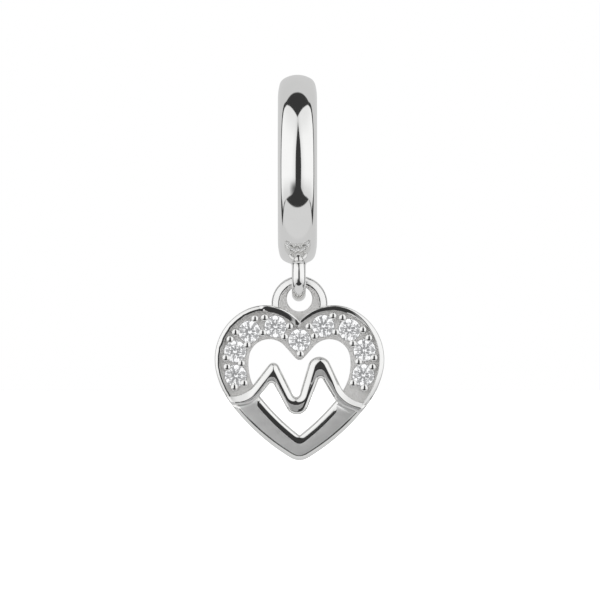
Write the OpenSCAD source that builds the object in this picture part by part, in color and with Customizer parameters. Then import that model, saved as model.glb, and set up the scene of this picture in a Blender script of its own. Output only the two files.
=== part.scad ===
// Heart charm: a cast and polished silver heart set with nine small round stones.
// It hangs by its top loop from the fixed loop under a plain domed ring.
// X runs across the heart, Y from the front to the back, and Z up.
// The origin is the top of the ring's hole, where the ring hangs on a bracelet.

/* [Ring] */
// Diameter of the hole through the ring
bore_d = 8.2; // [7.8:0.1:8.6]
// Outside diameter of the ring
ring_d = 11.2; // [11:0.1:11.5]
// Width of the ring along its axis
ring_w = 2.3; // [2.2:0.05:2.4]
// Radius of the domed crown round the outside of the ring
crown_r = 1.53; // [1.4:0.01:1.7]
// Radius that joins the crown to the flat sides of the ring
shoulder_r = 0.77; // [0.7:0.01:0.85]
// Chamfer at both ends of the ring's hole
bore_chamfer = 0.15; // [0.1:0.01:0.2]

/* [Loop under the ring] */
// Thickness of the round wire of the fixed loop
link_wire_d = 0.82; // [0.7:0.01:0.84]
// Inside diameter of the fixed loop
link_hole_d = 1.44; // [1.42:0.01:1.5]
// How far the fixed loop's hole rises into the line of the ring's foot
link_rise = 0.09; // [0.05:0.01:0.12]
// Radius of the solder round each foot of the loop, where it meets the ring
link_foot_r = 0.62; // [0.5:0.01:0.65]
// Height over which the solder narrows to the wire
link_foot_h = 0.3; // [0.2:0.01:0.35]
// Sideways place of the fixed loop
link_x = 0.08; // [0:0.01:0.1]

/* [Heart outline] */
// Distance of each lobe's centre from the middle of the heart
lobe_x = 1.74; // [1.7:0.01:1.78]
// Radius of each lobe's outer side
lobe_r = 3.26; // [3.2:0.01:3.3]
// Radius of each lobe's crown, next to the cleft
top_r = 2.65; // [2.6:0.01:2.7]
// Radius of the heart's upper sides
side_r = 5.09; // [5:0.01:5.2]
// Radius of the long sides of the V
flank_r = 12.46; // [12.2:0.01:12.7]
// Radius of the tip
tip_r = 1; // [0.8:0.1:1.2]
// Distance from the heart's middle plane to its back
heart_back = 0.95; // [0.85:0.05:1]
// Sideways place of the hanging heart
heart_x = 0.12; // [0:0.01:0.14]

/* [Openings] */
// Radius of the two round tops of the heart's opening
window_r = 1.2; // [1.15:0.01:1.22]
// Radius of the opening's sides
window_side_r = 2.93; // [2.85:0.01:3]
// Height of the centre of the tongue's round end above the lobe centres
tongue_z = 0.32; // [0.3:0.01:0.36]
// Radius of the tongue's round end
tongue_r = 0.3; // [0.28:0.01:0.32]

/* [Relief] */
// Width of the polished rim round the stones
rim_w = 0.33; // [0.28:0.01:0.36]
// Distance of the sunk floor in front of the middle plane
floor_y = 0.5; // [0.45:0.01:0.55]
// Distance of the rim in front of the middle plane
rim_y = 0.84; // [0.75:0.01:0.9]
// Distance of the face of the V in front of the middle plane
face_y = 0.8; // [0.7:0.01:0.85]
// Distance of the wave's ridge in front of the middle plane
wave_y = 0.98; // [0.9:0.01:1.05]
// Width of the bevel along the heart's outer edge
bevel_w = 0.2; // [0.15:0.01:0.25]
// Depth of that bevel
bevel_h = 0.12; // [0.08:0.01:0.15]

/* [Heart loop] */
// Outside radius of the loop on the heart
eye_r = 1.65; // [1.62:0.01:1.68]
// Radius of the loop's hole
eye_hole_r = 0.75; // [0.74:0.01:0.77]
// Height of the loop's outer circle above the lobe centres
eye_z = 3.27; // [3.25:0.01:3.3]
// Height of the hole's centre above the centre of the outer circle
eye_hole_rise = 0.3; // [0.29:0.01:0.31]
// Thickness of the loop from front to back
eye_t = 0.7; // [0.6:0.01:0.7]
// Chamfer on the loop's edges
eye_chamfer = 0.15; // [0.14:0.01:0.16]
// Width of the loop's raised rim
eye_rim_w = 0.36; // [0.3:0.01:0.4]
// Depth of the loop's face inside its rim
eye_sink = 0.08; // [0.05:0.01:0.1]

/* [Stones] */
// Diameter of each round stone
stone_d = 1.3; // [1.26:0.01:1.32]
// Clearance between a stone and its seat
seat_gap = 0.035; // [0.03:0.005:0.04]
// Height of each stone's girdle above the sunk floor
girdle_rise = 0.08; // [0.06:0.01:0.1]
// Radius of a holding bead
bead_r = 0.21; // [0.2:0.01:0.22]
// Distance of the beads' tops in front of the middle plane
bead_y = 0.82; // [0.78:0.01:0.86]

/* [Hidden] */
$fn = 64;

silver = "#c9cac8";
polished = "#dcdddb";
crystal = "#eef2f6";

bore_r = bore_d / 2;
ring_r = ring_d / 2;
ring_z = -bore_r;
ring_foot_z = ring_z - ring_r;

link_wire_r = link_wire_d / 2;
link_hole_r = link_hole_d / 2;
link_r = link_hole_r + link_wire_r;
link_z = ring_foot_z + link_rise - link_hole_r;
link_inner_z = link_z - link_hole_r;
link_foot_y = 0.93;
link_foot_sink = 0.14;

// The bar of the heart's loop is what hangs in the fixed loop.
// The heart swings about the middle of the bar, which stays clear of the wire all round.
eye_top = eye_z + eye_r;
eye_hole_z = eye_z + eye_hole_rise;
bar_low = eye_hole_z + eye_hole_r;
bar_v = (eye_top + bar_low) / 2;
bar_clear = 0.088;
pivot_z = link_inner_z + bar_clear + (eye_top - bar_low) / 2;
heart_z = pivot_z - bar_v;

// The outline is a chain of arcs, each tangent to the next at one of these directions
top_turn = 63;
side_turn = -13;
flank_turn = -37.2;
function along(a, d) = [cos(a), sin(a)] * d;
lobe_c = [lobe_x, 0];
top_c = lobe_c + along(top_turn, lobe_r - top_r);
side_c = lobe_c - along(side_turn, side_r - lobe_r);
flank_c = side_c - along(flank_turn, flank_r - side_r);
tip_turn = -acos(-flank_c[0] / (flank_r - tip_r));
tip_c = flank_c + along(tip_turn, flank_r - tip_r);

// The opening's sides follow the outline, from the round tops down to two straight flanks
window_turn = 9;
window_flank_turn = -44;
window_side_c = lobe_c - along(window_turn, window_side_r - window_r);

// A line tangent to a round top and to the tongue's end passes between the two circles
tongue_c = [0, tongue_z];
tongue_span = lobe_c - tongue_c;
tongue_turn = atan2(tongue_span[1], tongue_span[0]) - acos((tongue_r + window_r) / norm(tongue_span));

// Corners of the wave's two edges, from left to right: across, up, radius of the corner
wave_upper = [[-4.57, -2.15, 0], [-3.22, -2.15, 1.4], [-1.48, 0.1, 0.35], [-0.14, -2.59, 0.22],
              [1.03, 1.39, 0.68], [2.73, -2.26, 1.7], [5.2, -2.95, 0]];
wave_lower = [[-4.9, -2.68, 0], [-2.77, -2.68, 1.3], [-1.62, -1.23, 0.19], [-0.05, -4.21, 0.68],
              [1.22, -0.91, 0.15], [2.25, -2.67, 1.7], [5, -3.75, 0]];
wave_ridge_trim = 0.2;
corner_steps = 8;
// Each layer of relief is drawn in from the one behind it by at least this step,
// and the rim and the V run this far under the wave
relief_step = 0.03;
under_wave = 0.12;

// Places of the stones' centres: across, up
stones = [[-3.76, -0.97], [-3.79, 0.47], [-2.95, 1.63], [-1.42, 1.93], [0, 1.14],
          [1.39, 1.97], [2.95, 1.74], [3.83, 0.54], [3.76, -0.93]];
// The stone in the middle of that row, and how far the rim keeps clear of it
middle = 4;
collar_gap = 0.1;

// Places of the holding beads: across, up
beads = [[-2.63, 2.4], [-2.06, 2.46], [-3.78, 1.59], [-4.1, 1.18], [-3.09, 0.84], [-2.17, 1.57],
         [-0.59, 1.94], [-0.89, 1.32], [-3.42, -0.24], [-4.27, -0.45], [-3.26, -1.4], [-3.84, -1.64],
         [0.56, 1.94], [0.88, 1.36], [1.97, 2.56], [2.53, 2.46], [2.13, 1.59], [3.74, 1.75],
         [4.09, 1.26], [3.14, 0.93], [4.39, 0.09], [3.48, -0.15], [4.29, -0.45], [3.16, -1.4],
         [3.82, -1.68], [0.05, 0.31], [-4.34, 0.09]];

// Proportions of a round brilliant, as shares of its girdle radius
table_share = 0.56;
crown_share = 0.3;
star_share = 0.78;
girdle_share = 0.06;
pavilion_share = 0.86;
lower_share = 0.25;
stone_r = stone_d / 2;
crown_h = crown_share * stone_r;
girdle_h = girdle_share * stone_r;
pavilion_h = pavilion_share * stone_r;
girdle_y = floor_y + girdle_rise;

// Past every edge of the heart, and the small overlap of two halves that meet in the middle
reach = 20;
lap = 0.1;
// Each smaller arc runs on by this angle inside the larger one that it is tangent to
blend = 8;

// Part of a disc between two directions less than 120 degrees apart
module sector(centre, r, a0, a1) {
    intersection() {
        translate(centre) circle(r);
        polygon([centre, centre + along(a0, 2 * r), centre + along(a1, 2 * r)]);
    }
}

module both_sides() {
    children();
    mirror([1, 0]) children();
}

// Both halves of a shape that is drawn on the right and reaches a little past the middle
module mirrored() {
    both_sides() intersection() {
        children();
        translate([-lap, -reach]) square([lap + reach, 2 * reach]);
    }
}

// The heart's outline, drawn in from its edge by inset
module outline(inset = 0) {
    mirrored() {
        union() {
            translate(top_c) circle(top_r - inset);
            sector(lobe_c, lobe_r - inset, side_turn - blend, top_turn);
            sector(side_c, side_r - inset, flank_turn - blend, side_turn);
            sector(flank_c, flank_r - inset, tip_turn, flank_turn);
            sector(tip_c, tip_r - inset, -180 - tip_turn - blend, tip_turn + blend);
        }
    }
}

// The heart-shaped opening, wider by grow, with the tongue that holds the middle stone left standing
module window(grow = 0) {
    side = window_side_r + grow;
    knee = window_side_c + along(window_flank_turn, side);
    tip = [0, knee[1] - knee[0] / tan(-window_flank_turn)];
    foot = tongue_c + along(tongue_turn, tongue_r - grow);
    root = lobe_c - along(tongue_turn, window_r + grow);
    difference() {
        mirrored() {
            union() {
                translate(lobe_c) circle(window_r + grow);
                sector(window_side_c, side, window_flank_turn - blend, window_turn);
                polygon([tongue_c, foot, root, lobe_c, knee, tip, tip + [-lap, 2 * lap], tongue_c - [lap, 0]]);
            }
        }
        translate(tongue_c) circle(tongue_r - grow);
    }
}

function unit(v) = v / norm(v);

// Points round a corner at p between a and b, as an arc of radius r
function corner(a, p, b, r) =
    let (u = unit(a - p), v = unit(b - p), half = acos(u * v) / 2,
         centre = p + unit(u + v) * r / sin(half),
         start = p + u * r / tan(half) - centre, finish = p + v * r / tan(half) - centre,
         a0 = atan2(start[1], start[0]), turn = atan2(finish[1], finish[0]) - a0,
         sweep = turn > 180 ? turn - 360 : turn < -180 ? turn + 360 : turn)
    [for (i = [0 : corner_steps]) centre + along(a0 + sweep * i / corner_steps, r)];

// An edge of the wave as points, moved up or down by shift
function edge(rows, shift = 0) =
    let (last = len(rows) - 1, at = [for (row = rows) [row[0], row[1] + shift]])
    [at[0], for (i = [1 : last - 1]) each corner(at[i - 1], at[i], at[i + 1], rows[i][2]), at[last]];

function reversed(list) = [for (i = [len(list) - 1 : -1 : 0]) list[i]];

module wave(trim = 0) {
    intersection() {
        polygon(concat(edge(wave_upper, -trim), reversed(edge(wave_lower, trim))));
        outline(trim);
    }
}

// The rim along the top of the heart, drawn in on both its sides and cut back round the middle stone
module rim(inset) {
    intersection() {
        difference() {
            outline(inset);
            outline(rim_w + relief_step - inset / 2);
            translate(stones[middle]) circle(stone_r + collar_gap + inset / 2);
        }
        polygon(concat(edge(wave_upper, -under_wave), [[reach, reach], [-reach, reach]]));
    }
}

// The face of the V below the wave, drawn in from the outline and from the opening
module v_face(inset, grow) {
    intersection() {
        difference() {
            outline(inset);
            window(grow);
        }
        polygon(concat(edge(wave_lower, under_wave), [[reach, -reach], [-reach, -reach]]));
    }
}

// Turns a flat shape into a plate that stands upright, from front before to back behind the middle plane
module plate(front, back) {
    translate([0, back, 0]) rotate([90, 0, 0]) linear_extrude(front + back) children();
}

// The ring's section, across against outwards
module ring_section() {
    half_w = ring_w / 2;
    crown_z = ring_r - crown_r;
    lean = asin((half_w - shoulder_r) / (crown_r - shoulder_r));
    shoulder = [half_w - shoulder_r, crown_z + (crown_r - shoulder_r) * cos(lean)];
    right = [[half_w - bore_chamfer, bore_r], [half_w, bore_r + bore_chamfer], [half_w, shoulder[1]], shoulder];
    union() {
        sector([0, crown_z], crown_r, 90 - lean, 90 + lean);
        both_sides() translate(shoulder) circle(shoulder_r);
        polygon(concat(right, [for (p = reversed(right)) [-p[0], p[1]]]));
    }
}

module ring() {
    translate([0, 0, ring_z]) rotate([0, 90, 0]) rotate_extrude() rotate(-90) ring_section();
}

module fixed_loop() {
    translate([link_x, 0, link_z]) rotate([0, 90, 0])
        rotate_extrude() translate([link_r, 0]) circle(link_wire_r);
    for (side = [-1, 1])
        translate([link_x, side * link_foot_y, ring_foot_z - link_foot_h + link_foot_sink])
            cylinder(h = link_foot_h, r1 = link_wire_r, r2 = link_foot_r);
}

module bail_ring() color(polished) {
    difference() {
        union() {
            ring();
            fixed_loop();
        }
        translate([-ring_w, 0, ring_z]) rotate([0, 90, 0]) cylinder(h = 2 * ring_w, r = bore_r);
    }
}

// A disc that stands upright with both its edges chamfered
module chamfered_disc(r, t, chamfer) {
    rotate([90, 0, 0]) {
        cylinder(h = t - 2 * chamfer, r = r, center = true);
        for (side = [0, 1]) mirror([0, 0, side]) translate([0, 0, t / 2 - chamfer])
            cylinder(h = chamfer, r1 = r, r2 = r - chamfer);
    }
}

module heart_eye() {
    difference() {
        translate([0, 0, eye_z]) chamfered_disc(eye_r, eye_t, eye_chamfer);
        translate([0, -eye_t / 2 - 1 + eye_sink, eye_z]) rotate([90, 0, 0])
            cylinder(h = 2, r = eye_r - eye_rim_w, center = true);
    }
}

module eye_hole() {
    translate([0, 0, eye_hole_z]) rotate([90, 0, 0]) {
        cylinder(h = 2 * eye_t, r = eye_hole_r, center = true);
        for (side = [0, 1]) mirror([0, 0, side]) translate([0, 0, eye_t / 2 - eye_chamfer])
            cylinder(h = eye_t, r1 = eye_hole_r, r2 = eye_hole_r + eye_t);
    }
}

module bead(place) {
    translate([place[0], bead_r - bead_y, place[1]]) rotate([90, 0, 0]) sphere(bead_r);
}

// Space cut for one stone, with its clearance, from below the culet to in front of the table
module seat() {
    wide = stone_r + seat_gap;
    rotate_extrude() polygon([[0, -girdle_h - pavilion_h - 2 * seat_gap], [wide, -girdle_h - seat_gap],
                              [wide, seat_gap], [table_share * stone_r + seat_gap, crown_h + seat_gap],
                              [table_share * stone_r + seat_gap, 1], [0, 1]]);
}

module at_stone(i) {
    translate([heart_x + stones[i][0], -girdle_y, heart_z + stones[i][1]]) rotate([90, 0, 0]) children();
}

module heart_frame() color(silver) {
    difference() {
        translate([heart_x, 0, heart_z]) {
            plate(floor_y, heart_back) difference() {
                outline();
                difference() {
                    window();
                    wave();
                }
            }
            plate(rim_y - bevel_h, 0) rim(relief_step);
            plate(rim_y, 0) rim(bevel_h);
            plate(face_y - bevel_h, 0) v_face(relief_step, relief_step);
            plate(face_y, 0) v_face(bevel_w, bevel_h);
            plate(wave_y - bevel_h, 0) wave(relief_step);
            plate(wave_y, 0) wave(wave_ridge_trim);
            for (place = beads) bead(place);
            heart_eye();
        }
        translate([heart_x, 0, heart_z]) eye_hole();
        for (i = [0 : len(stones) - 1]) at_stone(i) seat();
    }
}

// A round brilliant with its girdle's top at height 0: table, stars, kites and halves above,
// halves and mains below, all worked out so that each facet is flat
module brilliant() {
    eighth = 45;
    half = eighth / 2;
    star_z = crown_share * (1 - star_share * cos(half)) / (1 - table_share);
    lower_z = -girdle_share - pavilion_share * (1 - lower_share * cos(half));
    function crown_of(k) = [table_share * cos(k * eighth), table_share * sin(k * eighth), crown_share];
    function star_of(k) = [star_share * cos((k + 0.5) * eighth), star_share * sin((k + 0.5) * eighth), star_z];
    function lower_of(k) = [lower_share * cos((k + 0.5) * eighth), lower_share * sin((k + 0.5) * eighth), lower_z];
    function girdle_of(j, z) = [cos(j * half), sin(j * half), z];
    ring8 = [0 : 7];
    points = concat([for (k = ring8) crown_of(k)], [for (k = ring8) star_of(k)],
                    [for (j = [0 : 15]) girdle_of(j, 0)], [for (j = [0 : 15]) girdle_of(j, -girdle_share)],
                    [for (k = ring8) lower_of(k)], [[0, 0, -girdle_share - pavilion_share]]);
    function crown(k) = k % 8;
    function star(k) = 8 + (k + 8) % 8;
    function upper(j) = 16 + (j + 16) % 16;
    function under(j) = 32 + (j + 16) % 16;
    function lower(k) = 48 + (k + 8) % 8;
    culet = 56;
    faces = concat(
        [[for (k = [7 : -1 : 0]) crown(k)]],
        [for (k = ring8) [crown(k), crown(k + 1), star(k)]],
        [for (k = ring8) [crown(k), star(k), upper(2 * k), star(k - 1)]],
        [for (k = ring8) [star(k), upper(2 * k + 1), upper(2 * k)]],
        [for (k = ring8) [star(k), upper(2 * k + 2), upper(2 * k + 1)]],
        [for (j = [0 : 15]) [upper(j), upper(j + 1), under(j + 1), under(j)]],
        [for (k = ring8) [under(2 * k), under(2 * k + 1), lower(k)]],
        [for (k = ring8) [under(2 * k + 1), under(2 * k + 2), lower(k)]],
        [for (k = ring8) [under(2 * k), lower(k), culet, lower(k - 1)]]);
    scale(stone_r) polyhedron(points, faces);
}

module stone(i) color(crystal) at_stone(i) brilliant();

bail_ring();
heart_frame();
stone(0);  // stone_1
stone(1);  // stone_2
stone(2);  // stone_3
stone(3);  // stone_4
stone(4);  // stone_5
stone(5);  // stone_6
stone(6);  // stone_7
stone(7);  // stone_8
stone(8);  // stone_9
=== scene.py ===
from math import acos, asin, atan2, cos, degrees, pi, radians, sin, sqrt, tan

import bpy
from mathutils import Matrix, Vector, noise
from mathutils.geometry import intersect_line_line_2d


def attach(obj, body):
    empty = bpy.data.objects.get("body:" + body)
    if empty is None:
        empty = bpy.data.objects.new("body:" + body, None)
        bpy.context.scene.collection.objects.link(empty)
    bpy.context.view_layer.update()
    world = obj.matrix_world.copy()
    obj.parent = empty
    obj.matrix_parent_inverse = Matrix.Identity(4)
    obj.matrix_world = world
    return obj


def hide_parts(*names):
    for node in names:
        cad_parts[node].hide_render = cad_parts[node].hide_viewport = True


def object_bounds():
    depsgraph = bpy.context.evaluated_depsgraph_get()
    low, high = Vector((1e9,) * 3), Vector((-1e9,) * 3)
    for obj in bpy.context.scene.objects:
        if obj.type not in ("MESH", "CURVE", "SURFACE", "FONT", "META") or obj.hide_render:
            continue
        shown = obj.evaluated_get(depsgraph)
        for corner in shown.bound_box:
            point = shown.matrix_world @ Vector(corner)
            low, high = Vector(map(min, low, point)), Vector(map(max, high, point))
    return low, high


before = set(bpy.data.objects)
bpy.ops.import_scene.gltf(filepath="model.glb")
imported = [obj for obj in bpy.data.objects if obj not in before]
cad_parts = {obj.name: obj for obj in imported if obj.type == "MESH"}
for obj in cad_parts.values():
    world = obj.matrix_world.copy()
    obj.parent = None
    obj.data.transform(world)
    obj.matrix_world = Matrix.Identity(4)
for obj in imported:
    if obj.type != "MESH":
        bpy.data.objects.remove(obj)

cad_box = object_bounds()

# The ring
# A cast silver ring with a domed face and flat sides, which slides on a bracelet. It is turned, polished
# to a mirror and left plain, and its hole has a small chamfer at each end.
MM = 0.001
weld = 0.001 * MM
ring_r, bore_r, ring_w, chamfer, bore_step = 5.6, 4.1, 2.3, 0.15, 0.1
crown_r, shoulder_r, side_round, side_lean = 1.53, 0.6, 3.0, 15
ring_z, ring_steps = -bore_r, 192


def deselect():
    for item in bpy.context.selected_objects:
        item.select_set(False)


def take_up(piece):
    """Makes one piece the only one that the next operators act on."""
    deselect()
    bpy.context.view_layer.objects.active = piece
    piece.select_set(True)


def edit(piece):
    take_up(piece)
    bpy.ops.object.mode_set(mode="EDIT")
    bpy.ops.mesh.select_mode(type="VERT")
    bpy.ops.mesh.select_all(action="SELECT")


def put_down():
    bpy.ops.object.mode_set(mode="OBJECT")


def face_outwards():
    """Turns every face of the piece that is being edited outwards, and leaves edit mode."""
    bpy.ops.mesh.select_all(action="SELECT")
    bpy.ops.mesh.normals_make_consistent(inside=False)
    put_down()


def pull(step):
    """Extrudes what is selected by one step."""
    bpy.ops.mesh.extrude_region_move(TRANSFORM_OT_translate={"value": step})


def primitive_done(name):
    """Names the primitive just added, and moves its place from the object into the mesh."""
    piece = bpy.context.object
    piece.name = piece.data.name = name
    bpy.ops.object.transform_apply(location=True, rotation=True, scale=True)
    return piece


def trace(name, points):
    """Draws a closed line from point to point, starting from one vertex, and stays in edit mode."""
    deselect()
    bpy.ops.mesh.primitive_plane_add(size=MM, location=points[0])
    piece = primitive_done(name)
    edit(piece)
    bpy.ops.mesh.merge(type="CENTER")
    for here, there in zip(points, points[1:]):
        pull(there - here)
    bpy.ops.mesh.select_all(action="SELECT")
    # A face over the whole line closes it, and is taken out again
    bpy.ops.mesh.edge_face_add()
    bpy.ops.mesh.delete(type="ONLY_FACE")
    return piece


def turn_round(steps, height):
    """Spins the outline that is being edited round a line along the X axis, and closes the seam."""
    bpy.ops.mesh.select_all(action="SELECT")
    bpy.ops.mesh.spin(steps=steps, angle=2 * pi, center=(0, 0, height * MM), axis=(1, 0, 0))
    bpy.ops.mesh.select_all(action="SELECT")
    bpy.ops.mesh.remove_doubles(threshold=weld)
    face_outwards()


def smooth(piece, sharp_degrees):
    take_up(piece)
    bpy.ops.object.shade_smooth_by_angle(angle=radians(sharp_degrees))


def away(turn, distance):
    """A flat step at an angle in degrees."""
    return Vector((cos(radians(turn)), sin(radians(turn)))) * distance


def arc(centre, radius, start, end, spacing=0.05):
    """Points along an arc, about as far apart as the spacing says."""
    count = max(2, round(abs(radians(end - start) * radius) / spacing))
    return [Vector(centre) + away(start + (end - start) * i / count, radius) for i in range(count + 1)]


def other_side(points):
    return [Vector((-p.x, p.y)) for p in points]


def ring_section():
    """The right half of the ring's section, across and outwards from the ring's axis."""
    half = ring_w / 2
    shoulder_x = half - side_round + (side_round - shoulder_r) * cos(radians(side_lean))
    lean = degrees(asin(shoulder_x / (crown_r - shoulder_r)))
    crown = Vector((0, ring_r - crown_r))
    shoulder = crown + away(90 - lean, crown_r - shoulder_r)
    side = shoulder - away(side_lean, side_round - shoulder_r)
    face = (arc(crown, crown_r, 90, 90 - lean)
            + arc(shoulder, shoulder_r, 90 - lean, side_lean, spacing=0.04)[1:]
            + arc(side, side_round, side_lean, 0, spacing=0.1)[1:])
    # A short step into the hole keeps the edge of the chamfer crisp
    return face + [Vector((half - chamfer, bore_r)), Vector((half - chamfer - bore_step, bore_r))]


half_section = ring_section()
section = half_section + other_side(half_section[:0:-1])
bail = trace("ring_band", [Vector((p.x, 0, ring_z + p.y)) * MM for p in section])
turn_round(ring_steps, ring_z)
smooth(bail, sharp_degrees=32)


class Value:
    """A socket in a sheet of nodes. Maths on it adds Math nodes, so that it reads as an expression."""

    def __init__(self, sheet, socket):
        self.sheet, self.socket = sheet, socket

    def maths(self, operation, *terms):
        return self.sheet.node("ShaderNodeMath", terms, operation=operation)

    def __add__(self, other):
        return self.maths("ADD", self, other)

    def __sub__(self, other):
        return self.maths("SUBTRACT", self, other)

    def __rsub__(self, other):
        return self.maths("SUBTRACT", other, self)

    def __mul__(self, other):
        return self.maths("MULTIPLY", self, other)

    def __truediv__(self, other):
        return self.maths("DIVIDE", self, other)

    def __abs__(self):
        return self.maths("ABSOLUTE", self)

    __radd__ = __add__
    __rmul__ = __mul__


class Sheet:
    """The nodes of one finish, or of the light round the object."""

    def __init__(self, owner):
        owner.use_nodes = True
        self.tree = owner.node_tree
        self.tree.nodes.clear()

    def node(self, kind, sockets=(), output=0, stops=(), **settings):
        """Adds a node with its settings, a ramp's stops, and values or links for its sockets."""
        added = self.tree.nodes.new(kind)
        for name, setting in settings.items():
            setattr(added, name, setting)
        for i, (place, colour) in enumerate(stops):
            ramp = added.color_ramp.elements
            stop = ramp[i] if i < len(ramp) else ramp.new(place)
            stop.position, stop.color = place, colour
        pairs = sockets.items() if isinstance(sockets, dict) else enumerate(sockets)
        for key, value in pairs:
            if isinstance(value, Value):
                self.tree.links.new(value.socket, added.inputs[key])
            else:
                added.inputs[key].default_value = value
        return Value(self, added.outputs[output]) if added.outputs else added

    def fall(self, value, start, end):
        """1 below the start, 0 above the end, and straight between them."""
        return self.node("ShaderNodeMapRange", [value, start, end, 1.0, 0.0])

    def rise(self, value, start, end):
        """0 below the start, 1 above the end, and an eased step between them."""
        return self.node("ShaderNodeMapRange", [value, start, end, 0.0, 1.0], interpolation_type="SMOOTHSTEP")

    def place(self, stretch=(1, 1, 1)):
        """The place on the object in metres, stretched to draw a pattern out along an axis."""
        coordinates = self.node("ShaderNodeTexCoord", output="Object")
        return self.node("ShaderNodeMapping", {"Vector": coordinates, "Scale": stretch})

    def noise(self, per_mm, detail=3.0, stretch=(1, 1, 1), roughness=0.5):
        """Cloudy noise from 0 to 1, with about so many clouds a millimetre."""
        return self.node("ShaderNodeTexNoise", {"Vector": self.place(stretch), "Scale": per_mm / MM,
                                                "Detail": detail, "Roughness": roughness})

    def colour(self, value, low, high):
        """A colour between two others."""
        return self.node("ShaderNodeValToRGB", [value], output="Color", stops=[(0.0, low), (1.0, high)])

    def bump(self, height, depth, strength):
        """A bump as deep as the depth in millimetres."""
        sockets = {"Height": height, "Distance": depth * MM, "Strength": strength}
        return self.node("ShaderNodeBump", sockets, output="Normal")

    def surface(self, sockets):
        """The shader that the rest feeds, at the finish's output."""
        shader = self.node("ShaderNodeBsdfPrincipled", sockets, output="BSDF")
        self.node("ShaderNodeOutputMaterial", {"Surface": shader})


def metal(name, colour, roughness, normal, metallic=1.0):
    """A silver finish. What varies goes into its colour, roughness and normal."""
    finish = bpy.data.materials.new(name)
    sheet = Sheet(finish)
    sheet.surface({"Base Color": colour(sheet), "Roughness": roughness(sheet), "Normal": normal(sheet),
                   "Metallic": metallic})
    return finish


bright_silver, soft_silver = (0.93, 0.93, 0.925, 1), (0.86, 0.86, 0.85, 1)
mirror_silver = metal(
    "mirror_silver",
    colour=lambda s: s.colour(s.noise(0.6), soft_silver, bright_silver),
    roughness=lambda s: 0.045 + s.noise(5, stretch=(1, 1, 0.2)) * 0.03,
    normal=lambda s: s.bump(s.noise(1.3, 1.0), 0.004, 0.6),
)


def dress(piece, body, *finishes, slot="silver", stands_for=None):
    """Gives a finished piece its finishes and its body, and hides the node that it stands for. The slot is
    not used.
    """
    for finish in finishes:
        piece.data.materials.append(finish)
    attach(piece, body)
    if stands_for:
        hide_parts(stands_for)


dress(bail, "ring", mirror_silver, stands_for="bail_ring")

# The fixed loop
# A loop of round silver wire under the ring, soldered on at its two feet, where the solder draws out
# into a small fillet. The heart's own loop hangs in it.
wire_r, link_hole_r, link_rise, link_x = 0.41, 0.72, 0.09, 0.08
wire_points, link_steps = 40, 96
solder_r, solder_h, solder_sink, foot_y = 0.15, 0.2, 0.01, 0.93
# The solder ends a little inside the wire
solder_points, solder_rings, solder_tuck = 48, 10, 0.985
ring_foot_z = ring_z - ring_r
link_z = ring_foot_z + link_rise - link_hole_r
wire_middle = Vector((link_x, 0, link_z - link_hole_r - wire_r)) * MM

deselect()
bpy.ops.mesh.primitive_circle_add(vertices=wire_points, radius=wire_r * MM, location=wire_middle)
loop = primitive_done("fixed_loop")
edit(loop)
bpy.ops.transform.rotate(value=radians(90), orient_axis="X", center_override=wire_middle)
turn_round(link_steps, link_z)


def ring_lift(x, y):
    """How far the ring's surface has risen above its lowest point, beside that point."""
    return crown_r - sqrt(crown_r ** 2 - x * x) + ring_r - sqrt(ring_r ** 2 - y * y)


def solder_foot(side):
    """One foot: solder drawn in from the ring to the wire with a hollow curve, whose top follows the ring."""
    radius, step = wire_r + solder_r, solder_h / solder_rings
    centre = Vector((link_x, side * foot_y, ring_foot_z + solder_sink))
    deselect()
    bpy.ops.mesh.primitive_circle_add(vertices=solder_points, radius=radius * MM, fill_type="NGON",
                                      location=centre * MM)
    foot = primitive_done("solder_foot")
    edit(foot)
    for i in range(1, solder_rings + 1):
        up = 1 - i / solder_rings
        next_radius = wire_r * solder_tuck + solder_r * (1 - sqrt(1 - up * up))
        pull((0, 0, -step * MM))
        centre.z -= step
        bpy.ops.transform.resize(value=(next_radius / radius,) * 2 + (1,), center_override=centre * MM)
        radius = next_radius
    face_outwards()
    for vertex in foot.data.vertices:
        up = (vertex.co.z / MM - centre.z) / solder_h
        vertex.co.z += ring_lift(vertex.co.x / MM, vertex.co.y / MM) * up * MM
    return foot


def join(pieces):
    """Makes one piece of several, in the first one's mesh."""
    take_up(pieces[0])
    for piece in pieces:
        piece.select_set(True)
    bpy.ops.object.join()


join([loop, solder_foot(-1), solder_foot(1)])
smooth(loop, sharp_degrees=50)
dress(loop, "ring", mirror_silver)

# The heart's plate
# The cast silver heart behind everything else: a thick plate with a heart-shaped opening, a tongue that
# holds the middle stone, and a sunk grainy floor that was left as cast between the stones.
heart_x, heart_z, fine_weld = 0.12, -15.282, 0.0002 * MM
lobe_x, lobe_r, top_r, side_r, flank_r, tip_r = 1.74, 3.26, 2.65, 5.09, 12.46, 1.0
top_turn, side_turn, flank_turn = 63, -13, -37.2
window_r, window_side_r, window_flank_r, window_turn, window_flank_turn = 1.22, 2.93, 13.2, 9, -37.7
tongue_z, tongue_r = 0.26, 0.3
floor_y, heart_back = 0.5, 0.95
lobe_c, window_c = Vector((lobe_x, 0)), Vector((1.775, -0.03))
top_c = lobe_c + away(top_turn, lobe_r - top_r)
side_c = lobe_c - away(side_turn, side_r - lobe_r)
flank_c = side_c - away(flank_turn, flank_r - side_r)
tip_turn = -degrees(acos(-flank_c.x / (flank_r - tip_r)))
tip_c = flank_c + away(tip_turn, flank_r - tip_r)
window_side_c = window_c - away(window_turn, window_side_r - window_r)
window_flank_c = window_side_c - away(window_flank_turn, window_flank_r - window_side_r)
tongue_c = Vector((0, tongue_z))
tongue_span = window_c - tongue_c
tongue_turn = degrees(atan2(tongue_span.y, tongue_span.x) - acos((tongue_r + window_r) / tongue_span.length))


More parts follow.
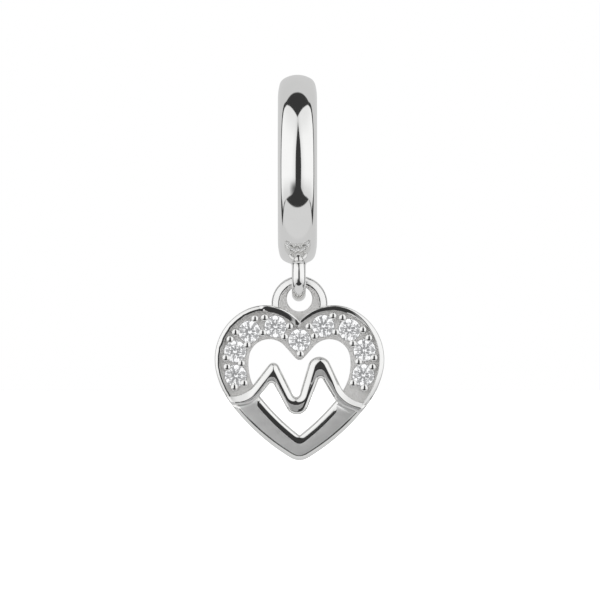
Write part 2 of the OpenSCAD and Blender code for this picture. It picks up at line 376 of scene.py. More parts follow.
def outline(inset=0.0):
    """The right half of the heart's edge, from the cleft over the lobe to the tip, drawn in by the inset."""
    cleft_turn = 180 - degrees(acos(top_c.x / (top_r - inset)))
    return (arc(top_c, top_r - inset, cleft_turn, top_turn)
            + arc(lobe_c, lobe_r - inset, top_turn, side_turn)[1:]
            + arc(side_c, side_r - inset, side_turn, flank_turn)[1:]
            + arc(flank_c, flank_r - inset, flank_turn, tip_turn)[1:]
            + arc(tip_c, tip_r - inset, tip_turn, -90)[1:])


def opening_flank(grow=0.0, foot_r=0.0):
    """The right side of the opening below its round top, down to its foot, rounded to the foot radius."""
    radius = window_flank_r + grow
    foot_turn = -degrees(acos(-window_flank_c.x / (radius - foot_r)))
    foot_c = window_flank_c + away(foot_turn, radius - foot_r)
    side = (arc(window_side_c, window_side_r + grow, window_turn, window_flank_turn)
            + arc(window_flank_c, radius, window_flank_turn, foot_turn)[1:])
    return side + arc(foot_c, foot_r, foot_turn, -90)[1:] if foot_r else side


def opening(grow=0.0):
    """The right half of the opening, from the tongue round the top to the pointed foot."""
    return (arc(tongue_c, tongue_r - grow, -90, tongue_turn)
            + arc(window_c, window_r + grow, tongue_turn + 180, window_turn) + opening_flank(grow)[1:])


def spread(points, count):
    """The same line with so many points, evenly spaced along it."""
    run = [0.0]
    for here, there in zip(points, points[1:]):
        run.append(run[-1] + (there - here).length)
    even, i = [], 0
    for k in range(count):
        goal = run[-1] * k / (count - 1)
        while i < len(points) - 2 and run[i + 1] < goal:
            i += 1
        share = (goal - run[i]) / max(run[i + 1] - run[i], 1e-9)
        even.append(points[i].lerp(points[i + 1], min(max(share, 0), 1)))
    return even


def on_heart(p, front):
    """A flat point of the heart at a distance in front of its middle plane, in the object's own frame."""
    return Vector((heart_x + p.x, -front, heart_z + p.y)) * MM


def loft(name, lines, finishes, bands=None, closed=False):
    """A sheet through lines of equally many points, made from a grid. Bands give each strip's finish."""
    deselect()
    columns, rows = len(lines[0]), len(lines)
    bpy.ops.mesh.primitive_grid_add(x_subdivisions=columns - 1, y_subdivisions=rows - 1, size=1)
    sheet = primitive_done(name)
    for finish in finishes:
        sheet.data.materials.append(finish)
    for face in sheet.data.polygons:
        strip = int((face.center.y + 0.5) * (rows - 1))
        face.material_index = bands[strip] if bands else 0
    for vertex in sheet.data.vertices:
        column = round((vertex.co.x + 0.5) * (columns - 1))
        row = round((vertex.co.y + 0.5) * (rows - 1))
        vertex.co = lines[row][column]
    edit(sheet)
    if closed:
        bpy.ops.mesh.remove_doubles(threshold=fine_weld)
    bpy.ops.mesh.normals_make_consistent(inside=False)
    return sheet


def close_back(front, back_finish=0):
    """Draws the sheet that is being edited back to a flat back, so that it is solid."""
    first_step = 0.01
    pull((0, first_step * MM, 0))
    bpy.context.object.active_material_index = back_finish
    bpy.ops.object.material_slot_assign()
    bpy.ops.transform.resize(value=(1, 0, 1), center_override=(0, -front * MM, 0))
    face_outwards()


def heart_line(half, count, front):
    """A whole closed line round the heart from its right half."""
    right_half = spread(half, count)
    return [on_heart(p, front) for p in right_half + other_side(right_half[::-1])[1:]]


# How many points each half line has
half_count = 150
# How far each rounded edge reaches, and where its middle lies
edge_round, edge_middle, window_round, window_middle = 0.08, (0.02, 0.03), 0.06, 0.02
back_round, back_middle = 0.12, 0.035
# Each row: a half line, and its height in front of the heart's middle plane
plate_rows = [
    (outline(), floor_y - edge_round), (outline(edge_middle[0]), floor_y - edge_middle[1]),
    (outline(edge_round), floor_y), (opening(window_round), floor_y),
    (opening(window_middle), floor_y - window_middle), (opening(), floor_y - window_round),
    (opening(), -heart_back + window_round), (opening(window_middle), -heart_back + window_middle),
    (opening(window_round), -heart_back), (outline(back_round), -heart_back),
    (outline(back_middle), -heart_back + back_middle), (outline(), -heart_back + back_round),
    (outline(), floor_y - edge_round),
]
# The edges are polished, the floor is grainy and the back is satin
plate_bands = [1, 1, 0, 0, 0, 1, 1, 1, 2, 1, 1, 1]

grain_silver = metal(
    "grain_silver",
    colour=lambda s: s.colour(s.noise(5, 4, roughness=0.6), (0.80, 0.79, 0.775, 1), (1.0, 0.995, 0.985, 1)),
    roughness=lambda s: 0.40 + s.noise(9, 3) * 0.2,
    normal=lambda s: s.bump(s.noise(4.2, 5, roughness=0.65), 0.12, 0.8),
    metallic=0.5,
)


def satin(name, low, high):
    """Silver lapped to a satin, with faint lines along the X axis, between two brightnesses, a touch warm."""
    warmth = 0.995
    dull, bright = [(level, level, level * warmth, 1) for level in (low, high)]
    return metal(
        name,
        colour=lambda s: s.colour(s.noise(3, 3, (0.4, 1, 1)), dull, bright),
        roughness=lambda s: 0.38 + s.noise(2.5, 3, (0.35, 1, 1)) * 0.1,
        normal=lambda s: s.bump(s.noise(9, 3, (0.12, 1, 1)), 0.008, 0.4),
    )


satin_silver = satin("satin_silver", 0.80, 0.90)
plate = loft("heart_plate", [heart_line(half, half_count, front) for half, front in plate_rows],
             [grain_silver, mirror_silver, satin_silver], bands=plate_bands, closed=True)
put_down()

# The seats are drilled through the floor, one for each stone
stones = [(-3.76, -0.97), (-3.79, 0.47), (-2.95, 1.63), (-1.42, 1.93), (0, 1.14),
          (1.39, 1.97), (2.95, 1.74), (3.83, 0.54), (3.76, -0.93)]
stone_r, seat_gap, girdle_rise = 0.65, 0.035, 0.08
girdle_h, pavilion_h = 0.06 * stone_r, 0.86 * stone_r
drill_points, drill_h, drill_tip = 48, 1, 0.02


def cut_away(piece, tool):
    """Cuts one solid with another, and deletes the tool."""
    take_up(piece)
    cut = piece.modifiers.new("cut", "BOOLEAN")
    cut.object, cut.operation, cut.solver = tool, "DIFFERENCE", "EXACT"
    bpy.ops.object.modifier_apply(modifier=cut.name)
    bpy.data.objects.remove(tool)


def seat_drill(place):
    """The drill for one seat: a cone for the stone's point under a short straight wall."""
    middle = on_heart(Vector(place), floor_y + girdle_rise - girdle_h - seat_gap)
    deselect()
    bpy.ops.mesh.primitive_cylinder_add(vertices=drill_points, radius=(stone_r + seat_gap) * MM,
                                        depth=drill_h * MM)
    drill = primitive_done("seat_drill")
    edit(drill)
    bpy.ops.transform.rotate(value=radians(90), orient_axis="X", center_override=(0, 0, 0))
    bpy.ops.transform.translate(value=middle - Vector((0, drill_h / 2 * MM, 0)))
    put_down()
    # Its back end is drawn out to the tip
    for vertex in drill.data.vertices:
        vertex.select = vertex.co.y > middle.y - drill_h / 2 * MM
    for face in drill.data.polygons:
        face.select = all(drill.data.vertices[i].select for i in face.vertices)
    for line in drill.data.edges:
        line.select = all(drill.data.vertices[i].select for i in line.vertices)
    bpy.ops.object.mode_set(mode="EDIT")
    pull((0, (pavilion_h + seat_gap) * MM, 0))
    bpy.ops.transform.resize(value=(drill_tip, 1, drill_tip),
                             center_override=middle + Vector((0, pavilion_h * MM, 0)))
    face_outwards()
    return drill


for stone_place in stones:
    cut_away(plate, seat_drill(stone_place))
smooth(plate, sharp_degrees=40)
dress(plate, "heart", stands_for="heart_frame")

# The rim
# The polished edge that stands up round the stones. Its crest runs near the inside along the outer
# sides, and crosses to the outside over the top of each lobe, where its inner slope is the wide one.
rim_count, relief_foot = 170, 0.3
# Each row: distance in from the edge and height, on the left's outer side, the right's, and next to the cleft
rim_rows = [
    ((0.00, 0.56), (0.00, 0.56), (0.00, 0.62)), ((0.005, 0.66), (0.005, 0.66), (0.005, 0.73)),
    ((0.03, 0.715), (0.03, 0.715), (0.02, 0.775)), ((0.06, 0.745), (0.065, 0.745), (0.045, 0.80)),
    ((0.10, 0.77), (0.11, 0.77), (0.07, 0.816)), ((0.14, 0.79), (0.155, 0.79), (0.095, 0.828)),
    ((0.175, 0.804), (0.20, 0.807), (0.115, 0.834)), ((0.198, 0.812), (0.24, 0.82), (0.13, 0.834)),
    ((0.208, 0.8148), (0.265, 0.827), (0.15, 0.829)), ((0.218, 0.8155), (0.285, 0.8315), (0.17, 0.822)),
    ((0.315, 0.8165), (0.30, 0.834), (0.21, 0.807)), ((0.323, 0.816), (0.308, 0.832), (0.26, 0.789)),
    ((0.328, 0.81), (0.314, 0.825), (0.30, 0.773)), ((0.331, 0.78), (0.32, 0.78), (0.34, 0.758)),
    ((0.334, 0.70), (0.326, 0.70), (0.39, 0.739)), ((0.338, 0.60), (0.332, 0.60), (0.398, 0.65)),
    ((0.345, 0.47), (0.34, 0.47), (0.40, 0.47)),
]
crest_row, slope_end = 7, 15
crest_height, slope_rows = rim_rows[crest_row][2][1], range(crest_row + 1, slope_end)
# The inside is worn a little unevenly, and not alike on both lobes
wear_waves, wear_apart, rim_w = 26, 99, rim_rows[-1][0][0]
# On each lobe: the line where the rim runs under the wave, the stretch over which the crest crosses, the one
# where the rim is pinched next to the cleft, the depth of the wear, and the rim's width as shares along it
cleft_pinch = 0.66
left_lobe = {
    "cap": [Vector(p) for p in ((1.9, -1.75), (3.2, -2.3), (3.9, -2.2), (4.9, -2.1))],
    "swap": (0.262, 0.285), "pinch": (0.022, 0.042), "wear": 0.055,
    "widths": [(0, 1), (0.62, 1), (0.74, 0.86), (0.84, 0.74), (0.92, 0.8), (1, 0.8)],
}
right_lobe = {
    "cap": [Vector(p) for p in ((1.9, -2.05), (4.9, -3.22))],
    "swap": (0.30, 0.55), "pinch": (0, 0.1), "wear": 0.03,
    "widths": [(0, 0.55), (0.1, 0.57), (0.24, 0.73), (0.4, 0.92), (0.75, 0.95), (1, 0.85)],
}


def crossing(points, cap):
    """The last stretch of a line that the cap crosses, and where."""
    for i in range(len(points) - 1, 0, -1):
        for a, b in zip(cap, cap[1:]):
            hit = intersect_line_line_2d(points[i - 1], points[i], a, b)
            if hit:
                return i, hit
    raise ValueError("the cap doesn't cross the line")


def above(points, cap):
    i, hit = crossing(points, cap)
    return points[:i] + [hit]


def below(points, cap):
    i, hit = crossing(points, cap)
    return [hit] + points[i:]


def eased(value, start, end):
    """0 before the start, 1 past the end, and an eased step between them. They may run downwards."""
    share = min(max((value - start) / (end - start), 0), 1)
    return share * share * (3 - 2 * share)


def along(stops, share):
    """The value at a share of the way along a lobe, from a few stops."""
    for (a, low), (b, high) in zip(stops, stops[1:]):
        if share <= b:
            return low + (high - low) * eased(share, a, b)
    return stops[-1][1]


def half_rim(number, outer, inner, cap, swap, pinch, wear, widths):
    """One row of one lobe, from the cleft to under the wave, as pairs of a flat point and its height."""
    lines = [spread(above(outline(inset), cap), rim_count) for inset in (0, outer[0], inner[0])]
    row = []
    for k, (edge, out, near) in enumerate(zip(*lines)):
        share = k / (rim_count - 1)
        to_cleft = 1 - eased(share, *swap)
        pinched = cleft_pinch + (1 - cleft_pinch) * eased(share, *pinch)
        width = along(widths, share)
        place = edge.lerp(out.lerp(near, to_cleft), pinched * width)
        # Where the rim is narrow next to the cleft, its inner slope keeps its lean
        near_height = crest_height - (crest_height - inner[1]) * width if number in slope_rows else inner[1]
        if number > crest_row:
            unevenness = noise.noise(Vector((share * wear_waves, swap[0] * wear_apart, 0)))
            place = place.lerp(edge, unevenness * wear * (1 - to_cleft) / rim_w)
        row.append((place, outer[1] + (near_height - outer[1]) * to_cleft))
    return row


rim_lines = []
for number, (left_row, right_row, cleft_row) in enumerate(rim_rows):
    left = half_rim(number, left_row, cleft_row, **left_lobe)
    right = half_rim(number, right_row, cleft_row, **right_lobe)
    rim_lines.append([on_heart(Vector((-p.x, p.y)), height) for p, height in reversed(left)]
                     + [on_heart(p, height) for p, height in right[1:]])
rim = loft("heart_rim", rim_lines, [mirror_silver])
close_back(relief_foot)
smooth(rim, sharp_degrees=60)
dress(rim, "heart")

# The V
# The broad band along the heart's lower half. Its inner edge is buffed round and bright, its face is
# lapped flat to a satin, and a bevel runs along the outside.
v_count = 80
# Each row: distance from the opening and height
v_inner = [(0.0, 0.46), (0.004, 0.54), (0.02, 0.61), (0.04, 0.662), (0.065, 0.70), (0.095, 0.727),
           (0.135, 0.749), (0.17, 0.764), (0.205, 0.775), (0.275, 0.784), (0.365, 0.792), (0.475, 0.8)]
# Each row: distance from the heart's edge and height
v_outer = [(0.30, 0.8), (0.294, 0.799), (0.288, 0.7965), (0.25, 0.7815), (0.244, 0.7787), (0.198, 0.7565),
           (0.192, 0.753), (0.184, 0.747), (0.10, 0.655), (0.03, 0.573), (0.01, 0.538), (0.0, 0.46)]
# The bright slope keeps its width, and the dark band inside it starts a little way below the wave
slope_w, left_band, right_band = 0.205, (0.015, 0.12), (0.045, 0.18)
# The least share between two places, so that no two rows lie on each other
least_share = 0.02
# The foot's radius at the opening, and how it grows over the bright slope
foot_r, foot_widens = 0.08, 1.77
# The left end slopes down to the wave
v_foot_y, v_end_w, v_end_drop = 0.46, 0.27, 0.14
v_end_right = [Vector(p) for p in ((1.6, -1.45), (1.99, -2.12), (2.35, -2.56), (2.81, -2.84), (5.0, -3.70))]
v_end_left = [Vector(p) for p in ((1.58, -1.15), (2.36, -2.13), (2.81, -2.49), (3.39, -2.63), (4.9, -2.63))]


def v_half(half, cap):
    return spread(below(half, cap), v_count)


def buffed_half(grow, cap, band_start, band_full):
    """A line of the buffed slope. Its dark band comes to a point below the wave."""
    slope = min(grow, slope_w)
    narrow, full = [v_half(opening_flank(width, foot_r + foot_widens * slope), cap)
                    for width in (slope, grow)]
    reach = [max(eased(k / (v_count - 1), band_start, band_full), least_share) for k in range(v_count)]
    return [a.lerp(b, share) for a, b, share in zip(narrow, full, reach)]


def v_line(right, left, height):
    """One line of the V in place, from its right end to its left end, which slopes down to the wave."""
    points = right + other_side(left[::-1])[1:]
    line = []
    for p in points:
        drop = v_end_drop * max(1 - (p - points[-1]).length / v_end_w, 0)
        line.append(on_heart(p, max(height - drop, v_foot_y)))
    return line


v_lines = []
for grow, height in v_inner:
    right = buffed_half(grow, v_end_right, *right_band)
    v_lines.append(v_line(right, buffed_half(grow, v_end_left, *left_band), height))
for inset, height in v_outer:
    right, left = [v_half(outline(inset), end) for end in (v_end_right, v_end_left)]
    v_lines.append(v_line(right, left, height))
# The flat face between the two slopes is lapped
v_bands = [0] * (len(v_inner) - 1) + [1] + [0] * (len(v_outer) - 1)
lapped_silver = satin("lapped_silver", 0.88, 0.98)
v_band = loft("v_band", v_lines, [mirror_silver, lapped_silver], bands=v_bands)
close_back(relief_foot)
smooth(v_band, sharp_degrees=60)
dress(v_band, "heart")

# The wave
# A wavy bar that runs across the heart, over the opening. Its upper edge is buffed to a bright slope,
# which narrows at the right, and a narrow flat face runs along its lower edge, lapped past the opening.
corner_steps, straight_steps, least_r = 14, 12, 0.03
# Each row: a corner's place and its radius
wave_upper = [(-4.57, -2.07, 0), (-3.22, -2.15, 1.4), (-1.48, 0.1, 0.35), (-0.14, -2.59, 0.22),
              (1.03, 1.39, 0.68), (2.73, -2.26, 1.7), (5.2, -2.95, 0)]
wave_lower = [(-4.9, -2.68, 0), (-2.77, -2.68, 1.3), (-1.62, -1.23, 0.19), (-0.05, -4.21, 0.68),
              (1.22, -0.91, 0.15), (2.25, -2.67, 1.7), (5, -3.75, 0)]
# Each row: distance in from the edge and height
wave_from_upper = [(0.0, 0.40), (0.004, 0.62), (0.015, 0.68), (0.04, 0.745), (0.075, 0.80), (0.115, 0.848),
                   (0.16, 0.886), (0.21, 0.917), (0.26, 0.94), (0.305, 0.9555), (0.345, 0.9635),
                   (0.38, 0.968), (0.405, 0.9706)]
wave_from_lower = [(0.17, 0.975), (0.155, 0.971), (0.13, 0.96), (0.105, 0.945), (0.06, 0.905), (0.02, 0.865),
                   (0.004, 0.80), (0.0, 0.40)]
# Its ends lie just inside the heart's edge and are rounded down to it
wave_inset, wave_top, end_round, end_drop = 0.012, 0.9735, 0.2, 0.17
# Towards both ends, the buffed slope is straight from this row up
straight_from, left_end, right_end = 3, (-2.6, -3.1), (2.0, 2.4)
# The buffed part reaches a little more than half the way across, and further down under the peaks
buffed_from_upper, buffed_from_lower, peak_rise = 0.475, 0.25, (-1.6, -0.8)
left_peak_share, right_peak_share = 0.66, 0.5
# The rise to the right peak is polished along its lower edge too
polished_to, polished_x, polished_rise, polished_fall = 0.12, (-0.1, 1.15), (-3.7, -3.2), (-1.2, -1.7)
# The buffed slope is narrower at the right end, by this share of its width
right_share, narrowing = 0.8, (0.9, 2.0)
# Where the slope along the lower edge is lapped, and how its faces lean
lapped_x, lapped_down, lapped_front = 2.2, 0.15, 0.5
# How far its back lies inside the heart's
back_inset = 0.02


def drawn_in(rows, distance):
    """The rows of a line moved sideways to its left by the distance, with each corner's radius to match."""
    points = [Vector(row[:2]) for row in rows]
    ways = [(there - here).normalized() for here, there in zip(points, points[1:])]
    sides = [Vector((-way.y, way.x)) for way in ways]
    moved = [(points[0] + sides[0] * distance, 0)]
    for i in range(1, len(points) - 1):
        before, after = sides[i - 1], sides[i]
        bend = 1 if ways[i - 1].cross(ways[i]) > 0 else -1
        corner = points[i] + (before + after) / (1 + before.dot(after)) * distance
        moved.append((corner, max(rows[i][2] - bend * distance, least_r)))
    return moved + [(points[-1] + sides[-1] * distance, 0)]


def rounded(rows):
    """Points along a line with round corners and ends on the heart's edge, as many for every line."""
    runs = []
    for (before, _), (corner, radius), (after, _) in zip(rows, rows[1:], rows[2:]):
        u, v = (before - corner).normalized(), (after - corner).normalized()
        half = acos(u.dot(v)) / 2
        centre = corner + (u + v).normalized() * (radius / sin(half))
        start, end = corner + u * (radius / tan(half)) - centre, corner + v * (radius / tan(half)) - centre
        turn = start.angle_signed(end)
        runs.append([centre + Matrix.Rotation(-turn * i / corner_steps, 2) @ start
                     for i in range(corner_steps + 1)])
    edge = outline(wave_inset)
    first = crossing(other_side(edge), [runs[0][0], rows[0][0]])[1]
    last = crossing(edge, [runs[-1][-1], rows[-1][0]])[1]
    stops = [[first]] + runs + [[last]]
    line = [first]
    for number, (here, there) in enumerate(zip(stops, stops[1:])):
        for i in range(1, straight_steps):
            share = i / straight_steps
            # The points lie closer together towards both ends
            if number == 0:
                share = share ** 2
            elif number == len(stops) - 2:
                share = 1 - (1 - share) ** 2
            line.append(here[-1].lerp(there[0], share))
        line += there
    return line


def wave_line(rows, height, end_height=None):
    """One line of the wave in place. Both its ends are rounded down towards the heart's edge."""
    points = rounded(rows)
    line = []
    for p in points:
        to_end = min((p - points[0]).length, (p - points[-1]).length)
        to_straight = max(eased(p.x, *left_end), eased(p.x, *right_end))
        level = height + ((end_height or height) - height) * to_straight
        line.append(on_heart(p, level - end_drop * (1 - min(to_end / end_round, 1)) ** 2))
    return line


def straight_height(inset, height):
    """The height of a row of the buffed slope where it is straight."""
    (low_inset, low), (high_inset, high) = wave_from_upper[straight_from], wave_from_upper[-1]
    share = (inset - low_inset) / (high_inset - low_inset)
    return low + (high - low) * share if share > 0 else height


def buffed_line(inset, height, end_height=None):
    """One line of the buffed slope, which is narrower at the right end."""
    wide, narrow = [wave_line(drawn_in(wave_upper, -inset * share), height, end_height)
                    for share in (1, right_share)]
    return [a.lerp(b, eased(a.x / MM - heart_x, *narrowing)) for a, b in zip(wide, narrow)]


upper_lines = [buffed_line(inset, height, straight_height(inset, height))
               for inset, height in wave_from_upper]
lower_lines = [wave_line(drawn_in(wave_lower, inset), height) for inset, height in wave_from_lower]
buffed_edge = []
for a, b in zip(buffed_line(buffed_from_upper, wave_top),
                wave_line(drawn_in(wave_lower, buffed_from_lower), wave_top)):
    peak_share = left_peak_share if a.x / MM < heart_x else right_peak_share
    buffed_edge.append(a.lerp(b, peak_share * eased(a.z / MM - heart_z, *peak_rise)))
face_inset, face_top = wave_from_lower[0]
satin_edge = []
for a, b in zip(wave_line(drawn_in(wave_lower, face_inset + polished_to), face_top), lower_lines[0]):
    x, z = b.x / MM - heart_x, b.z / MM - heart_z
    on_rise = polished_x[0] < x < polished_x[1]
    share = eased(z, *polished_rise) * eased(z, *polished_fall) if on_rise else 0
    satin_edge.append(b.lerp(a, max(share, least_share)))
wave_bands = [0] * len(upper_lines) + [1] + [0] * len(lower_lines)
dull_silver = satin("dull_silver", 0.74, 0.84)
wave = loft("wave_bar", upper_lines + [buffed_edge, satin_edge] + lower_lines, [mirror_silver, dull_silver],
            bands=wave_bands)
close_back(back_inset - heart_back, back_finish=1)
for face in wave.data.polygons:
    past_opening = abs(face.center.x / MM - heart_x) > lapped_x
    if past_opening and face.normal.z < -lapped_down and face.normal.y < -lapped_front:
        face.material_index = 1
smooth(wave, sharp_degrees=60)
dress(wave, "heart")

# The heart's loop
# A flat ring cast on the back of the cleft, with a polished raised rim and a rough sunk face. Its hole
# is a little above its middle, so its top is the thin bar that hangs in the ring's loop.
eye_r, eye_hole_r, eye_z, eye_hole_rise, eye_t = 1.65, 0.75, 3.27, 0.3, 0.7
eye_steps = 192
# Each row: distance in from the outer circle, or out from the hole, and height
eye_from_edge = [(0.0, 0.06), (0.02, 0.10), (0.05, 0.148), (0.09, 0.20), (0.12, 0.232), (0.16, 0.26),
                 (0.21, 0.284), (0.27, 0.306), (0.33, 0.325), (0.375, 0.34), (0.383, 0.335), (0.388, 0.30),
                 (0.392, 0.2435), (0.396, 0.2425), (0.45, 0.2425), (0.454, 0.2435), (0.462, 0.247)]
eye_from_hole = [(0.09, 0.262), (0.06, 0.258), (0.03, 0.24), (0.012, 0.21), (0.0, 0.14)]
# Each row: distance from the hole or the outer circle, and from the back
eye_at_back = [(0, 0.1), (0.03, 0.03), (0.1, 0)]
# The worn line between the rim and the face runs in and out, in so many waves round the loop, and closes
# towards the bottom
groove_rows, groove_waves, groove_wobble, groove_w, groove_closes = range(14, 17), 46, 0.05, 0.05, (0.1, 0.5)
worn_strips = 12
worn_silver = metal(
    "worn_silver",
    colour=lambda s: s.colour(s.noise(2), (0.82, 0.82, 0.815, 1), (0.92, 0.92, 0.915, 1)),
    roughness=lambda s: 0.12 + s.noise(4) * 0.12,
    normal=lambda s: s.bump(s.noise(3, 2), 0.012, 0.6),
)


def eye_line(centre_z, radius, front, sway=0.0):
    """One line round the loop, which runs in and out by the sway."""
    points = []
    for i in range(eye_steps):
        turn = 360 * i / eye_steps
        swing = noise.noise(Vector((*away(turn, groove_waves / (2 * pi)), 0))) * sway
        closed = groove_w * eased(-sin(radians(turn)), *groove_closes) if sway else 0
        points.append(Vector((0, centre_z)) + away(turn, radius + swing + closed))
    return [on_heart(p, front) for p in points + points[:1]]


def hole_line(grow, front):
    return eye_line(eye_z + eye_hole_rise, eye_hole_r + grow, front)


eye_lines = ([eye_line(eye_z, eye_r - inset, front, groove_wobble if number in groove_rows else 0)
              for number, (inset, front) in enumerate(eye_from_edge)]
             + [hole_line(grow, front) for grow, front in eye_from_hole]
             + [hole_line(grow, up - eye_t / 2) for grow, up in eye_at_back]
             + [eye_line(eye_z, eye_r - inset, up - eye_t / 2) for inset, up in reversed(eye_at_back)])
eye_lines.append(eye_lines[0])
# From the edge in: the worn rim, the polished groove, the grainy face up to the hole, and the polished rest
eye_bands = [2] * worn_strips + [0] * (len(eye_from_edge) - 1 - worn_strips) + [1] * len(eye_from_hole)
eye_bands += [0] * (len(eye_lines) - 1 - len(eye_bands))
eye = loft("heart_loop", eye_lines, [mirror_silver, grain_silver, worn_silver], bands=eye_bands, closed=True)
put_down()
smooth(eye, sharp_degrees=50)
dress(eye, "heart")

# The beads
# Small grains raised from the silver between the stones and rubbed over their edges, which hold them.
# Each is a polished dome on a root that widens into the floor.
bead_r, bead_top, bead_flat, bead_points, bead_rings = 0.22, 0.82, 0.46, 28, 18
root_step, root_widens = 0.08, (1.0, 1.08, 1.2)
beads = [(-2.63, 2.4), (-2.06, 2.46), (-3.78, 1.59), (-4.1, 1.18), (-3.09, 0.84), (-2.17, 1.57),
         (-0.59, 1.94), (-0.89, 1.32), (-3.42, -0.24), (-4.27, -0.45), (-3.26, -1.4), (-3.84, -1.64),
         (0.56, 1.94), (0.88, 1.36), (1.97, 2.56), (2.53, 2.46), (2.13, 1.59), (3.74, 1.75), (4.09, 1.26),
         (3.14, 0.93), (4.39, 0.09), (3.48, -0.15), (4.29, -0.45), (3.16, -1.4), (3.82, -1.68),
         (0.05, 0.31), (-4.34, 0.09)]


def bead():
    """One bead at the origin: the front of a ball, drawn back into a root that widens."""
    deselect()
    bpy.ops.mesh.primitive_uv_sphere_add(segments=bead_points, ring_count=bead_rings, radius=bead_r * MM)
    grain = primitive_done("bead")
    edit(grain)
    bpy.ops.transform.rotate(value=radians(90), orient_axis="X", center_override=(0, 0, 0))
    bpy.ops.mesh.bisect(plane_co=(0, 0, 0), plane_no=(0, 1, 0), clear_outer=True)
    bpy.ops.mesh.select_all(action="SELECT")
    bpy.ops.transform.resize(value=(1, bead_flat, 1), center_override=(0, 0, 0))
    bpy.ops.mesh.select_all(action="DESELECT")
    bpy.ops.mesh.select_non_manifold()
    for widen in root_widens:
        pull((0, root_step * MM, 0))
        bpy.ops.transform.resize(value=(widen, 1, widen), center_override=(0, 0, 0))
    bpy.ops.mesh.edge_face_add()
    face_outwards()
    return grain


pattern = bead()
grains = []
for place in beads:
    grain = pattern.copy()
    grain.data = pattern.data.copy()
    bpy.context.collection.objects.link(grain)
    grain.data.transform(Matrix.Translation(on_heart(Vector(place), bead_top - bead_r * bead_flat)))
    grains.append(grain)
bpy.data.objects.remove(pattern)
join(grains)
bead_field = grains[0]
bead_field.name = bead_field.data.name = "setting_beads"
smooth(bead_field, sharp_degrees=50)
dress(bead_field, "heart", mirror_silver)

# The stones
# Nine round brilliant-cut clear stones, as they are cut in the frame. Each was set by hand, so it is turned
# a little differently on its own axis and leans a little its own way.
crystal_with_painted_glow = bpy.data.materials.new("clear_stone")
sheet = Sheet(crystal_with_painted_glow)
stone_colour = sheet.colour(sheet.noise(1.5, 2), (0.97, 0.975, 0.98, 1), (1, 1, 1, 1))
# The stones glow faintly: a painted light that lifts their dark facets towards white
sheet.surface({"Base Color": stone_colour, "Roughness": 0.0, "IOR": 2.15, "Transmission Weight": 1.0,
               "Emission Color": (0.95, 0.96, 0.98, 1), "Emission Strength": 0.07})

# In degrees: how much further each stone is turned than the last, how much each leans, and how much further
# round the direction of its lean is
stone_step, stone_tilt, tilt_step = 17, 2.2, 137.5
for number, stone_place in enumerate(stones, 1):
    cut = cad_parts[f"stone_{number}"]
    stone = bpy.data.objects.new(f"set_stone_{number}", cut.data.copy())
    bpy.context.collection.objects.link(stone)
    stone.data.materials.clear()
    middle = on_heart(Vector(stone_place), floor_y + girdle_rise)
    edit(stone)
    bpy.ops.mesh.remove_doubles(threshold=fine_weld)
    bpy.ops.transform.rotate(value=radians(stone_step * number), orient_axis="Y", center_override=middle)
    lean = radians(tilt_step * number)
    for axis, share in (("X", cos(lean)), ("Z", sin(lean))):
        bpy.ops.transform.rotate(value=radians(stone_tilt * share), orient_axis=axis, center_override=middle)
    put_down()
    bpy.ops.object.shade_flat()
    dress(stone, "heart", crystal_with_painted_glow, slot="stone", stands_for=f"stone_{number}")

# The view and the light
# A pale studio seen from straight in front: white light boxes on both sides, a dark card overhead, a pale
# table below and a pale wall behind, all far away. The floor is white and lies well below.
# How much the picture shows across, and where its middle is
photo_width, photo_centre = 35.4, Vector((0.15, 0, -11.785))
distance, sensor = 450.0, 36.0
bpy.ops.object.camera_add(location=(photo_centre + Vector((0, -distance, 0))) * MM,
                          rotation=(radians(90), 0, 0))
camera = bpy.context.object
camera.data.sensor_width = sensor
camera.data.lens = sensor * distance / photo_width
bpy.context.scene.camera = camera
bpy.context.scene.view_settings.view_transform = "Standard"


def turned(*angles):
    """Angles in radians from degrees."""
    return [radians(angle) for angle in angles]


def blend(low, high, share):
    return low + (high - low) * share


# How bright the wall, the table, the boxes, the dark parts and the ground that the camera sees are
wall, table_light, box, dark, seen_light = 0.645, 0.70, 1.02, 0.042, 1.0
# The dark gap between the boxes, in front: its middle, half its width, the heights over which it closes
# upwards, and how far beside it the boxes still change
gap_turn, gap_half, gap_fade, gap_top, gap_reach = turned(4, 12.5, 5, 60, 23.5)
# The boxes' soft edges, their foot and how much higher it is next to the gap, and their far ends, which
# come in low down
soft, end_soft, box_low, box_low_rise, box_end, box_end_low = turned(0.8, 1, -30, 8, 103, 91)
box_end_heights, behind = turned(8, 30), turned(113, 115)
# The boxes are dimmer next to the gap, high up and low down, and the left one most of all low in front
gap_dim, high_dim, low_dim, left_dim = 0.2, 0.15, 0.28, 0.9
high_heights, low_heights, left_heights = turned(30, 62), turned(5, 28), turned(10, 24)
left_reach, left_soft = turned(-2, 30), turned(0, 2)
# The table and the card are flat, so their edges are given as shares of their distance below or above
table_front, table_back, table_side, ground_side = (-0.94, -0.88), (0.0, 0.14), (1.36, 1.46), (1.45, 1.55)
card_side, card_back, card_front, card_bow, card_cut = (0.71, 0.79), (0.30, 0.35), (-0.47, -0.42), 0.13, 0.94
horizon, least_height = (0.0, 0.02), 0.001

studio = bpy.data.worlds.new("studio")
bpy.context.scene.world = studio
sky = Sheet(studio)
towards = sky.node("ShaderNodeTexCoord", output="Generated")
split = sky.node("ShaderNodeSeparateXYZ", [towards], output="X")
x, y, z = (Value(sky, split.socket.node.outputs[axis]) for axis in "XYZ")
round_about = x.maths("ARCTAN2", x, y * -1)
height = z.maths("ARCSINE", z)
depth = height * -1

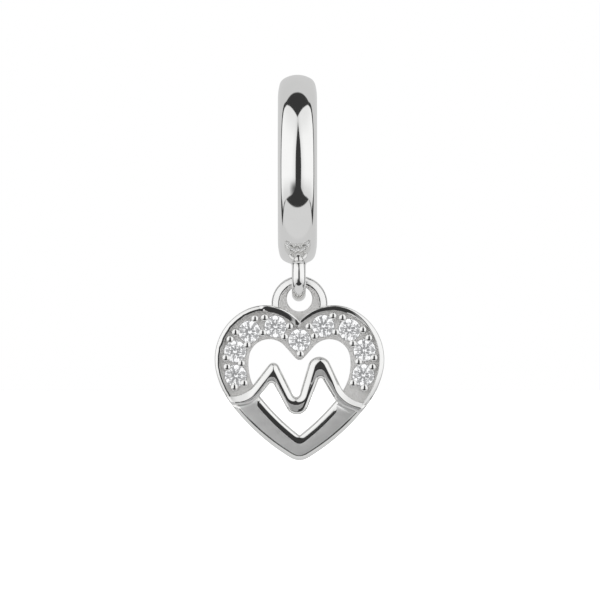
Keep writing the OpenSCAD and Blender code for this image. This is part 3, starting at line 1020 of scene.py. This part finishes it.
closing = sky.node("ShaderNodeMapRange", [height, gap_fade, gap_top, 0.0, 1.0])
off_gap = abs(round_about - gap_turn) - gap_half * (1 - closing * closing)
near_gap = sky.fall(off_gap, 0.0, gap_reach)
clear_of_gap = sky.rise(off_gap, -soft, soft)
above_foot = sky.rise(height - (near_gap * near_gap * box_low_rise + box_low), -soft, soft)
box_side = blend(box_end, box_end_low, sky.rise(depth, *box_end_heights))
beside = 1 - sky.rise(abs(round_about) - box_side, -end_soft, end_soft)
light_boxes = clear_of_gap * above_foot * beside
box_light = (box - near_gap * near_gap * gap_dim - sky.rise(height, *high_heights) * high_dim
             - sky.rise(depth, *low_heights) * low_dim)
near_left = sky.fall(off_gap, *left_reach)
low_left = sky.rise(depth, *left_heights) * sky.rise(gap_turn - round_about, *left_soft)
box_light = box_light * (1 - low_left * near_left * (2 - near_left) * left_dim)

below_it = z.maths("MAXIMUM", z * -1, least_height)
table_x, table_y, downwards = abs(x) / below_it, y / below_it, sky.rise(z * -1, *horizon)
off_front = sky.rise(table_y, *table_front)
table = off_front * (1 - sky.rise(table_x, *table_side)) * (1 - sky.rise(table_y, *table_back)) * downwards
ahead = 1 - sky.rise(abs(round_about), *behind)
ground = (1 - ahead) + ahead * off_front * (1 - sky.rise(table_x, *ground_side)) * downwards

above_it = z.maths("MAXIMUM", z, least_height)
card_x, card_y = abs(x / above_it), y / above_it
card = ((1 - sky.rise(card_x, *card_side)) * (1 - sky.rise(card_y + card_x * card_x * card_bow, *card_back))
        * sky.rise(card_y - card_x * card_cut, *card_front) * sky.rise(z, *horizon))

light = blend(dark, wall, ground)
light = blend(light, box_light, light_boxes)
light = blend(light, table_light, table)
light = blend(light, dark, card)
light = blend(light, seen_light, sky.node("ShaderNodeLightPath", output="Is Camera Ray"))
background = sky.node("ShaderNodeBackground", {"Color": (1, 1, 1, 1), "Strength": light}, output="Background")
sky.node("ShaderNodeOutputWorld", {"Surface": background})

floor_drop, floor_w = 14.0, 3000.0
deselect()
bpy.ops.mesh.primitive_plane_add(size=floor_w * MM, location=(0, 0, cad_box[0].z - floor_drop * MM))
floor = primitive_done("floor")
white = bpy.data.materials.new("white_floor")
Sheet(white).surface({"Base Color": (0.95, 0.95, 0.95, 1), "Roughness": 0.9,
                      "Emission Color": (1, 1, 1, 1), "Emission Strength": 0.7})
floor.data.materials.append(white)
floor.visible_glossy = floor.visible_transmission = floor.visible_diffuse = False
